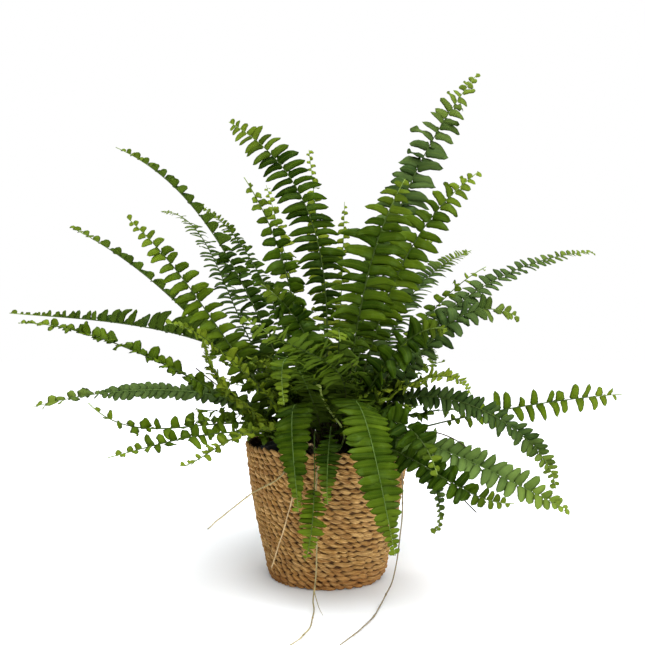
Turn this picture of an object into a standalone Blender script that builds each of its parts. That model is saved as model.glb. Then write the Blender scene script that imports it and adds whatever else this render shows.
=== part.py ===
"""A Boston fern in a woven seagrass basket: basket, liner, nursery pot, soil, crown, fronds and runners.

Units are metres, +Z is up, and the origin is at the middle of the basket's underside.
The plant's front is towards -Y. Routes and sizes of the plant are tabled in millimetres.
"""

import math

import bmesh
import bpy
import numpy as np
from mathutils import Vector

MM = 0.001

# Basket, all radii to its outside
BASKET_HEIGHT = 0.133
RIM_RADIUS = 0.083
WALL_FOOT_RADIUS = 0.0625  # where the rounded foot meets the wall
CONTACT_RADIUS = 0.054  # of the flat ring it stands on
FOOT_ROUNDING = 0.018  # height of the rounded foot
BELLY = 0.0025  # how far the wall swells past a straight cone
BASKET_WALL = 0.006

# Liner and nursery pot, standing inside the basket
GAP = 0.0004  # between faces that touch
LINER_WALL = 0.0008
LINER_TOP = 0.128
POT_RIM_RADIUS = 0.0725
POT_FOOT_RADIUS = 0.046
POT_WALL = 0.0012
POT_HEIGHT = 0.117
POT_LIP_HEIGHT = 0.009
POT_LIP_WIDTH = 0.0025

# Soil and the crown that the fronds grow from
SOIL_TOP = 0.113
SOIL_DOME = 0.002
CROWN_TOP = 0.1355
CROWN_RADIUS = 0.044
CROWN_FALL = 0.010  # drop of the crown's dome at CROWN_REACH from its middle
CROWN_REACH = 0.036
STALK_LIFT = 0.0025  # how far above the dome a stalk's centre line starts

# Fronds
STALK_SHARE = 0.12  # bare share of a frond's length
STALK_RADIUS = 0.001
BLADE_THICKNESS = 0.0016
STATIONS = 25
NOTCH = 0.6  # width between two leaflets, as a share of the width at a leaflet
NEIGHBOUR_SHARE = 0.46  # of the distance to the next frond's midrib that a blade may take

RUNNER_RADIUS = 0.0008

# Name, half width, stalk's place on the crown, compass direction that the upper face looks at the base
# (0 is +X, -90 is the front), then the route's middle points and its tip. All in mm and degrees.
FRONDS = (
    ("left_high_arch", 13, (-9, 5), -40, (-60, 30, 235), (-130, 70, 360), (-240, 100, 455)),
    ("left_back_fine", 9, (-7, 14), -50, (-40, 55, 230), (-85, 100, 325), (-150, 150, 395)),
    ("left_mid_arch", 12, (-25, 8), -30, (-95, 20, 210), (-175, 40, 290), (-280, 60, 360)),
    ("left_open", 15, (-17, -6), -80, (-80, -25, 210), (-130, -45, 285), (-190, -60, 355)),
    ("left_back_hooked", 10, (-17, 13), -30, (-60, 55, 195), (-100, 90, 265), (-140, 130, 345), (-200, 160, 390)),
    ("tall_dark", 24, (-1, 2), -90, (0, 0, 255), (-20, 0, 370), (-100, 0, 460)),
    ("left_upright", 14, (-8, -7), -85, (-25, -30, 235), (-45, -40, 320), (-80, -50, 395)),
    ("back_pale_left", 7, (-10, 23), -80, (-35, 70, 280), (-70, 120, 415)),
    ("back_pale_tall", 10, (-1, 12), -90, (-5, 60, 290), (-20, 90, 450)),
    ("back_pale_short", 7, (6, 17), -90, (15, 55, 270), (20, 80, 390)),
    ("tallest", 19, (8, 7), -95, (40, 20, 265), (85, 30, 395), (160, 40, 520)),
    ("front_bright", 25, (7, -10), -90, (25, -50, 230), (40, -80, 310), (70, -100, 385)),
    ("right_bright", 20, (15, -4), -95, (45, -20, 235), (80, -40, 325), (145, -50, 400)),
    ("right_back_fine", 11, (20, 14), -120, (55, 50, 210), (95, 90, 285), (170, 130, 340)),
    ("right_high_arch", 14, (25, 10), -130, (85, 35, 225), (180, 60, 300), (300, 90, 335)),
    ("right_mid", 17, (23, -10), -160, (70, -40, 195), (115, -70, 255), (175, -90, 260)),
    ("right_short", 10, (22, 3), -130, (65, 15, 200), (110, 30, 265), (170, 40, 315)),
    ("right_level", 15, (35, -3), -120, (110, -20, 155), (205, -30, 175), (290, -30, 185)),
    ("right_arch_down", 13, (29, -21), 175, (85, -60, 185), (160, -100, 165), (200, -120, 110)),
    ("right_low_broad", 20, (25, -28), 165, (80, -80, 145), (145, -130, 125), (200, -160, 100)),
    ("right_low_dark", 13, (17, -32), 150, (60, -100, 140), (105, -150, 120), (150, -180, 110)),
    ("right_hanging_small", 6, (33, -12), 170, (70, -45, 150), (100, -65, 105), (100, -75, 60)),
    ("right_yellow_small", 8, (24, -17), 163, (55, -40, 180), (100, -75, 205), (130, -95, 190)),
    ("front_hanging_broad", 22, (10, -25), 92, (25, -100, 185), (40, -155, 140), (55, -170, 65)),
    ("front_hanging_left", 17, (-9, -25), 85, (-30, -90, 180), (-30, -135, 145), (-25, -145, 95)),
    ("front_hanging_dark", 11, (2, -31), 90, (3, -80, 158), (0, -130, 135), (0, -140, 100)),
    ("front_hanging_bright", 10, (-6, -35), 90, (-12, -75, 150), (-12, -110, 105), (-20, -115, 45)),
    ("front_hanging_short", 9, (-2, -22), 78, (-20, -90, 200), (-35, -150, 225), (-35, -190, 190)),
    ("left_long", 14, (-33, 2), 20, (-90, 0, 220), (-210, -10, 255), (-320, -10, 265)),
    ("left_long_lower", 13, (-27, -15), -10, (-100, -50, 185), (-190, -90, 235), (-275, -110, 255)),
    ("left_level", 9, (-35, -7), -20, (-95, -30, 180), (-190, -50, 190), (-280, -60, 175)),
    ("left_low", 10, (-32, -18), -10, (-85, -60, 160), (-150, -100, 160), (-210, -120, 185)),
    ("left_low_front", 10, (-26, -26), 20, (-75, -90, 155), (-130, -140, 155), (-180, -170, 145)),
    ("left_clumped", 11, (-18, -32), 60, (-60, -110, 160), (-95, -160, 150), (-120, -180, 140)),
    ("left_thin_young", 4, (-20, -23), 40, (-65, -80, 170), (-95, -120, 205), (-105, -140, 240)),
    ("left_yellow_small", 9, (-17, -15), 10, (-60, -70, 190), (-100, -115, 235), (-135, -150, 255)),
    ("front_reaching_left", 14, (5, -19), 80, (15, -80, 200), (-15, -160, 230), (-65, -220, 260)),
    ("inner_left", 14, (-5, -14), -70, (-10, -60, 210), (-30, -80, 260), (-60, -100, 290)),
    ("inner_right", 14, (14, -15), -160, (45, -55, 200), (75, -85, 240), (105, -110, 250)),
    ("inner_front", 15, (1, -13), 90, (10, -65, 220), (10, -110, 250), (10, -160, 240)),
    ("inner_low_right", 12, (17, -23), 140, (50, -90, 165), (75, -135, 160), (90, -165, 130)),
    ("back_upright", 16, (10, 26), -105, (30, 80, 240), (60, 150, 330), (110, 220, 370)),
    ("back_left", 15, (-5, 32), -75, (-20, 90, 230), (-50, 170, 290), (-100, 240, 310)),
    ("back_right", 15, (24, 25), -120, (60, 90, 190), (110, 170, 220), (140, 240, 200)),
    ("back_left_low", 14, (-24, 24), -49, (-70, 80, 190), (-120, 160, 220), (-150, 220, 200)),
    ("back_middle", 15, (4, 35), -90, (0, 100, 200), (10, 180, 230), (20, 260, 200)),
    ("back_right_low", 13, (15, 33), -114, (40, 100, 165), (70, 150, 130), (90, 180, 80)),
    ("back_hanging", 13, (-15, 33), -62, (-50, 100, 165), (-80, 145, 140), (-90, 170, 100)),
    ("back_right_upright", 13, (12, 14), -120, (40, 50, 235), (75, 90, 310), (120, 115, 350)),
)

# Thin creeping stems: points in mm, from the crown outwards. The two long ones end lying on the floor.
RUNNERS = (
    ("runner_left", ((-14, -38, 132), (-28, -88, 150), (-40, -105, 120), (-66, -115, 105), (-88, -120, 89),
                     (-105, -125, 75))),
    ("runner_front", ((-3, -40, 131), (-6, -88, 141), (-10, -99, 110), (-10, -98, 55), (-11, -99, 25),
                      (-13, -104, 7), (-12, -112, 1.8), (-13, -130, 1.8), (-15, -158, 1.8), (-21, -178, 1.8),
                      (-25, -188, 1.8), (-34, -203, 1.8))),
    ("runner_right", ((24, -36, 131), (56, -72, 145), (68, -80, 120), (70, -70, 80), (67, -63, 40),
                      (61, -75, 16), (53, -90, 6), (46, -108, 1.8), (39, -134, 1.8), (26, -165, 1.8),
                      (17, -182, 1.8), (10, -195, 1.8), (3, -207, 1.8))),
    ("runner_dry", ((-10, -40, 131), (-20, -90, 140), (-38, -86, 73), (-52, -72, 26))),
)

# The young frond, still curled at its tip
CROZIER = ((11, -32, 130), (15, -45, 152), (3, -55, 170), (-7, -60, 194))
CROZIER_RADIUS = 0.0009
CURL_RADIUS = 0.0024


def material(name, colour, roughness):
    finish = bpy.data.materials.new(name)
    finish.use_nodes = True
    shader = finish.node_tree.nodes["Principled BSDF"]
    shader.inputs["Base Color"].default_value = (*colour, 1)
    shader.inputs["Roughness"].default_value = roughness
    shader.inputs["Metallic"].default_value = 0
    return finish


def add_object(name, mesh, finish):
    """The mesh as a named object, shaded smooth across its gentle edges."""
    mesh.materials.append(finish)
    mesh.shade_smooth()
    mesh.set_sharp_from_angle(angle=math.radians(50))
    piece = bpy.data.objects.new(name, mesh)
    bpy.context.scene.collection.objects.link(piece)
    return piece


def turned(name, profile, finish, segments=40):
    """A solid of revolution. The profile is (radius, height) points, from the axis out and back to it."""
    shape = bmesh.new()
    rim = [shape.verts.new((radius, 0, height)) for radius, height in profile]
    for first, second in zip(rim, rim[1:]):
        shape.edges.new((first, second))
    bmesh.ops.spin(
        shape, geom=shape.verts[:] + shape.edges[:], angle=math.tau, steps=segments,
        axis=(0, 0, 1), cent=(0, 0, 0), use_merge=True,
    )
    bmesh.ops.remove_doubles(shape, verts=shape.verts[:], dist=1e-6)
    bmesh.ops.recalc_face_normals(shape, faces=shape.faces[:])
    mesh = bpy.data.meshes.new(name)
    shape.to_mesh(mesh)
    shape.free()
    return add_object(name, mesh, finish)


def skinned(name, rings, finish):
    """A closed body through rings of equally many points, with flat ends."""
    shape = bmesh.new()
    loops = [[shape.verts.new(point) for point in ring] for ring in rings]
    sides = len(loops[0])
    for near, far in zip(loops, loops[1:]):
        for i in range(sides):
            j = (i + 1) % sides
            shape.faces.new((near[i], near[j], far[j], far[i]))
    shape.faces.new(loops[0][::-1])
    shape.faces.new(loops[-1])
    bmesh.ops.recalc_face_normals(shape, faces=shape.faces[:])
    mesh = bpy.data.meshes.new(name)
    shape.to_mesh(mesh)
    shape.free()
    return add_object(name, mesh, finish)


# ---- basket, liner, pot, soil and crown ----


def basket_radius(height):
    """Outside radius of the basket at a height."""
    if height < FOOT_ROUNDING:
        share = 1 - height / FOOT_ROUNDING
        return CONTACT_RADIUS + (WALL_FOOT_RADIUS - CONTACT_RADIUS) * math.sqrt(1 - share * share)
    share = (height - FOOT_ROUNDING) / (BASKET_HEIGHT - FOOT_ROUNDING)
    straight = WALL_FOOT_RADIUS + (RIM_RADIUS - WALL_FOOT_RADIUS) * share
    return straight + BELLY * math.sin(math.pi * share)


def inside_radius(height, inset):
    """Radius of a shell that lies inside the basket's outside by inset."""
    return basket_radius(max(height, FOOT_ROUNDING)) - inset


def basket(finish):
    foot = [FOOT_ROUNDING * step / 4 for step in range(5)]
    wall = [FOOT_ROUNDING + (BASKET_HEIGHT - FOOT_ROUNDING) * step / 5 for step in range(1, 6)]
    outer = [(basket_radius(height), height) for height in foot + wall]
    top_inset = BASKET_WALL / 2
    rim = [(RIM_RADIUS - top_inset, BASKET_HEIGHT + 0.0015)]
    floor = BASKET_WALL
    inner = [(inside_radius(height, BASKET_WALL), height) for height in reversed([FOOT_ROUNDING] + wall)]
    inner.append((CONTACT_RADIUS - BASKET_WALL / 2, floor))
    return turned("basket", [(0, 0), *outer, *rim, *inner, (0, floor)], finish)


def liner(finish):
    """The thin plastic film that keeps the basket dry."""
    inset = BASKET_WALL + GAP
    floor = BASKET_WALL + GAP
    heights = [0.024, 0.05, 0.08, 0.105, LINER_TOP]
    foot = CONTACT_RADIUS - BASKET_WALL / 2 - 0.0015
    outer = [(foot, floor)] + [(inside_radius(height, inset), height) for height in heights]
    inner = [(radius - LINER_WALL, max(height, floor + LINER_WALL)) for radius, height in reversed(outer)]
    return turned("basket_liner", [(0, floor), *outer, *inner, (0, floor + LINER_WALL)], finish)


def pot_radius(height, foot_height):
    share = (height - foot_height) / POT_HEIGHT
    return POT_FOOT_RADIUS + (POT_RIM_RADIUS - POT_LIP_WIDTH - POT_FOOT_RADIUS) * share


def nursery_pot(finish):
    foot = BASKET_WALL + LINER_WALL + 2 * GAP
    top = foot + POT_HEIGHT
    under_lip = top - POT_LIP_HEIGHT
    body = pot_radius(under_lip, foot)
    profile = [
        (0, foot), (POT_FOOT_RADIUS, foot), (body, under_lip), (POT_RIM_RADIUS, under_lip), (POT_RIM_RADIUS, top),
        (POT_RIM_RADIUS - POT_LIP_WIDTH - POT_WALL, top),
        (POT_FOOT_RADIUS - POT_WALL, foot + POT_WALL), (0, foot + POT_WALL),
    ]
    return turned("nursery_pot", profile, finish)


def soil(finish):
    foot = BASKET_WALL + LINER_WALL + 2 * GAP
    bottom = foot + POT_WALL + GAP
    clear = POT_WALL + 2 * GAP
    edge = pot_radius(SOIL_TOP, foot) - clear
    profile = [
        (0, bottom), (POT_FOOT_RADIUS - clear, bottom), (edge, SOIL_TOP),
        (edge * 0.55, SOIL_TOP + SOIL_DOME), (0, SOIL_TOP + SOIL_DOME),
    ]
    return turned("potting_soil", profile, finish)


def crown_height(radius):
    return CROWN_TOP - CROWN_FALL * (radius / CROWN_REACH) ** 2


def crown(finish):
    """The scaly mound of rootstock, standing on the soil."""
    bottom = SOIL_TOP + SOIL_DOME + GAP
    dome = [CROWN_RADIUS * share for share in (1, 0.8, 0.6, 0.4, 0.2)]
    profile = [(0, bottom), (CROWN_RADIUS, bottom), *((radius, crown_height(radius)) for radius in dome)]
    return turned("crown", [*profile, (0, CROWN_TOP)], finish, segments=32)


# ---- fronds and runners ----


def through(points, count):
    """A smooth curve through points that are evenly spaced along it."""
    points = np.array(points, float)
    spans = len(points) - 1
    place = np.linspace(0, spans, count)
    curve = np.zeros((count, 3))
    for i, point in enumerate(points):
        weight = np.ones(count)
        for j in range(spans + 1):
            if j != i:
                weight *= (place - j) / (i - j)
        curve += weight[:, None] * point
    return curve


def even_steps(curve, count):
    """The curve's points moved to even distances along it."""
    steps = np.linalg.norm(np.diff(curve, axis=0), axis=1)
    along = np.concatenate([[0], np.cumsum(steps)])
    wanted = np.linspace(0, along[-1], count)
    return np.stack([np.interp(wanted, along, curve[:, axis]) for axis in range(3)], axis=1)


def midrib(base, route):
    """A frond's centre line, from the crown's dome to its tip."""
    x, y = base[0] * MM, base[1] * MM
    start = (x, y, crown_height(math.hypot(x, y)) + STALK_LIFT)
    return even_steps(through([start] + [tuple(MM * value for value in point) for point in route], 121), STATIONS)


def smooth_line(points, count):
    """A curve through points at uneven distances, for the runners."""
    points = [Vector(point) * MM for point in points]
    padded = [points[0], *points, points[-1]]
    curve = []
    for before, start, end, after in zip(padded, padded[1:], padded[2:], padded[3:]):
        for step in range(count):
            share = step / count
            curve.append(0.5 * (
                2 * start + (end - before) * share
                + (2 * before - 5 * start + 4 * end - after) * share ** 2
                + (3 * start - before - 3 * end + after) * share ** 3
            ))
    return curve + [points[-1]]


def frames(line, compass):
    """Tangent, upper face and side direction at each point, turning no more than the line itself does."""
    line = [Vector(point) for point in line]
    face = Vector((math.cos(math.radians(compass)), math.sin(math.radians(compass)), 0))
    found = []
    for i, point in enumerate(line):
        tangent = (line[min(i + 1, len(line) - 1)] - line[max(i - 1, 0)]).normalized()
        face = (face - tangent * face.dot(tangent)).normalized()
        found.append((point, tangent, face, tangent.cross(face)))
    return found


def blade_width(share):
    """Width along a frond, as a share of its widest: a bare stalk, a quick swell and a long taper."""
    if share < STALK_SHARE:
        return 0
    swell = min(1, ((share - STALK_SHARE) / 0.2) ** 0.7)
    taper = min(1, ((1 - share) / 0.35) ** 0.8)
    return swell * taper


def room_beside(point, others):
    """How far a blade may reach at a point before it meets a neighbour's midrib, a runner or the basket."""
    nearest = min(np.linalg.norm(line - point, axis=1).min() for line in others)
    radius = math.hypot(point[0], point[1])
    room = NEIGHBOUR_SHARE * nearest
    if point[2] < BASKET_HEIGHT:
        beside_wall = radius - basket_radius(max(point[2], 0)) - 0.002
        return min(room, max(beside_wall, STALK_RADIUS))
    over_rim = math.hypot(max(0, abs(radius - RIM_RADIUS + BASKET_WALL / 2) - 0.003), point[2] - BASKET_HEIGHT)
    return min(room, max(over_rim - 0.0025, STALK_RADIUS))


def frond(name, line, half_width, compass, others, finish):
    """One frond as a thin solid with a notched edge, one notch between two leaflets."""
    rings = []
    for i, (point, _, face, side) in enumerate(frames(line, compass)):
        share = i / (STATIONS - 1)
        width = half_width * blade_width(share) * (NOTCH if i % 2 else 1)
        width = max(STALK_RADIUS, min(width, room_beside(line[i], others)))
        thickness = face * BLADE_THICKNESS / 2
        if i == STATIONS - 1:
            width, thickness = STALK_RADIUS / 2, thickness / 2
        rings.append([point + side * width, point + thickness, point - side * width, point - thickness])
    return skinned(name, rings, finish)


def tube(name, line, radii, finish, sides=6):
    rings = []
    for (point, _, face, side), radius in zip(frames(line, 17), radii):
        turn = [math.tau * k / sides for k in range(sides)]
        rings.append([point + (face * math.cos(a) + side * math.sin(a)) * radius for a in turn])
    return skinned(name, rings, finish)


def curled_tip_radii(count):
    """A thin stem that ends in a round knob."""
    radii = [CROZIER_RADIUS] * (count - 4)
    return radii + [CURL_RADIUS * share for share in (0.7, 1, 0.8, 0.25)]


def main():
    for old in list(bpy.data.objects):
        bpy.data.objects.remove(old)

    seagrass = material("seagrass", (0.42, 0.24, 0.10), 0.8)
    black_film = material("black_film", (0.02, 0.02, 0.025), 0.4)
    black_plastic = material("black_plastic", (0.015, 0.015, 0.02), 0.5)
    peat = material("peat", (0.035, 0.022, 0.015), 0.95)
    rootstock = material("rootstock", (0.06, 0.035, 0.02), 0.9)
    leaf_green = material("leaf_green", (0.06, 0.16, 0.025), 0.5)
    young_green = material("young_green", (0.25, 0.38, 0.08), 0.5)
    runner_brown = material("runner_brown", (0.35, 0.30, 0.17), 0.7)

    basket(seagrass)
    liner(black_film)
    nursery_pot(black_plastic)
    soil(peat)
    crown(rootstock)

    runners = {name: smooth_line(points, 3) for name, points in RUNNERS}
    crozier = [Vector(point) for point in even_steps(through(np.array(CROZIER) * MM, 61), 15)]
    midribs = {name: midrib(base, route) for name, _, base, _, *route in FRONDS}
    lines = {**midribs, **{name: np.array(line) for name, line in runners.items()}, "crozier": np.array(crozier)}

    for name, half_width, _, compass, *_ in FRONDS:
        others = [line for other, line in lines.items() if other != name]
        frond("frond_" + name, midribs[name], half_width * MM, compass, others, leaf_green)
    for name, line in runners.items():
        tube(name, line, [RUNNER_RADIUS] * len(line), runner_brown)
    tube("crozier", crozier, curled_tip_radii(len(crozier)), young_green)


main()
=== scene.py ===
from dataclasses import dataclass
from itertools import combinations
import math

import bmesh
import bpy
import numpy as np
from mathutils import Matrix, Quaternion, Vector


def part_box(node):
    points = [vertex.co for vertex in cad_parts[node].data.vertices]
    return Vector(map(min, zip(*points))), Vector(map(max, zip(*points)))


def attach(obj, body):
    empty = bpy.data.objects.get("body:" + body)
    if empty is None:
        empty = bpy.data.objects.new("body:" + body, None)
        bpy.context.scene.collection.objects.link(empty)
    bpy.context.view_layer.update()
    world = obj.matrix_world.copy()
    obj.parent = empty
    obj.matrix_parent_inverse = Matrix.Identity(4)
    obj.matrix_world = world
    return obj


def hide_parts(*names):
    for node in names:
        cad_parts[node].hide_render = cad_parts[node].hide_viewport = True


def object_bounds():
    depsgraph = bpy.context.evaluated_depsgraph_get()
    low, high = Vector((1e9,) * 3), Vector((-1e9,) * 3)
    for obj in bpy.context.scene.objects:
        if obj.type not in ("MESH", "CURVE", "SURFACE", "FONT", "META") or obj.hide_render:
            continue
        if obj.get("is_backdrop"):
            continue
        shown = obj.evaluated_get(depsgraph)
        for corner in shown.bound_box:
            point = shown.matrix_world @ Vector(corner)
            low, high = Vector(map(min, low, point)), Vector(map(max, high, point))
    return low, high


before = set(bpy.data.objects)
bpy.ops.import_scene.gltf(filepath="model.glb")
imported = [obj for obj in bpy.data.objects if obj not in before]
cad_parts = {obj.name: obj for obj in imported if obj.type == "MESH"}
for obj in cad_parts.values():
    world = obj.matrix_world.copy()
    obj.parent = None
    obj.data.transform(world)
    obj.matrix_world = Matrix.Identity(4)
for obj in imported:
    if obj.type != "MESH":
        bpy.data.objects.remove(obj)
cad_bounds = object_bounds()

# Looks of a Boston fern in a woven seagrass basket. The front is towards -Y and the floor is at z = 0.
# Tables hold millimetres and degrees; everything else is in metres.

MM = 0.001
BODY = "root"


@dataclass
class Plan:
    """How one frond grows. Lift and lean are pairs, right hand row first, where the two rows differ."""

    name: str
    base: tuple  # its stalk's place on the crown
    compass: float  # direction that the upper face looks at the base: 0 is +X, -90 is the front
    route: tuple  # middle points and tip
    # Longest leaflet, gap between neighbours of one row, breadth, turn about the midrib, lift off the blade,
    # unevenness from 0 to 1, and green
    looks: tuple
    shade: float = 0.45  # how light it is in its own green, from 0 to 1
    # Shares of its length that are bare at the foot and that taper to the tip. Below 1 the last number gives
    # a blunt end and above 1 a long thin one
    ends: tuple = (0.03, 0.26, 0.6)
    lean: tuple = 0  # how much more its leaflets lean towards the tip than others do
    pale: bool = False  # midrib paler than the leaflets
    outer: tuple = None  # share of its length at which it changes, and the looks and ends beyond
    sprigs: tuple = (0, 0, 0, 0)  # small fronds round its foot: how many, compass, spread and steepness
    dry: tuple = None  # route of a thin dry stem beside it


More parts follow.
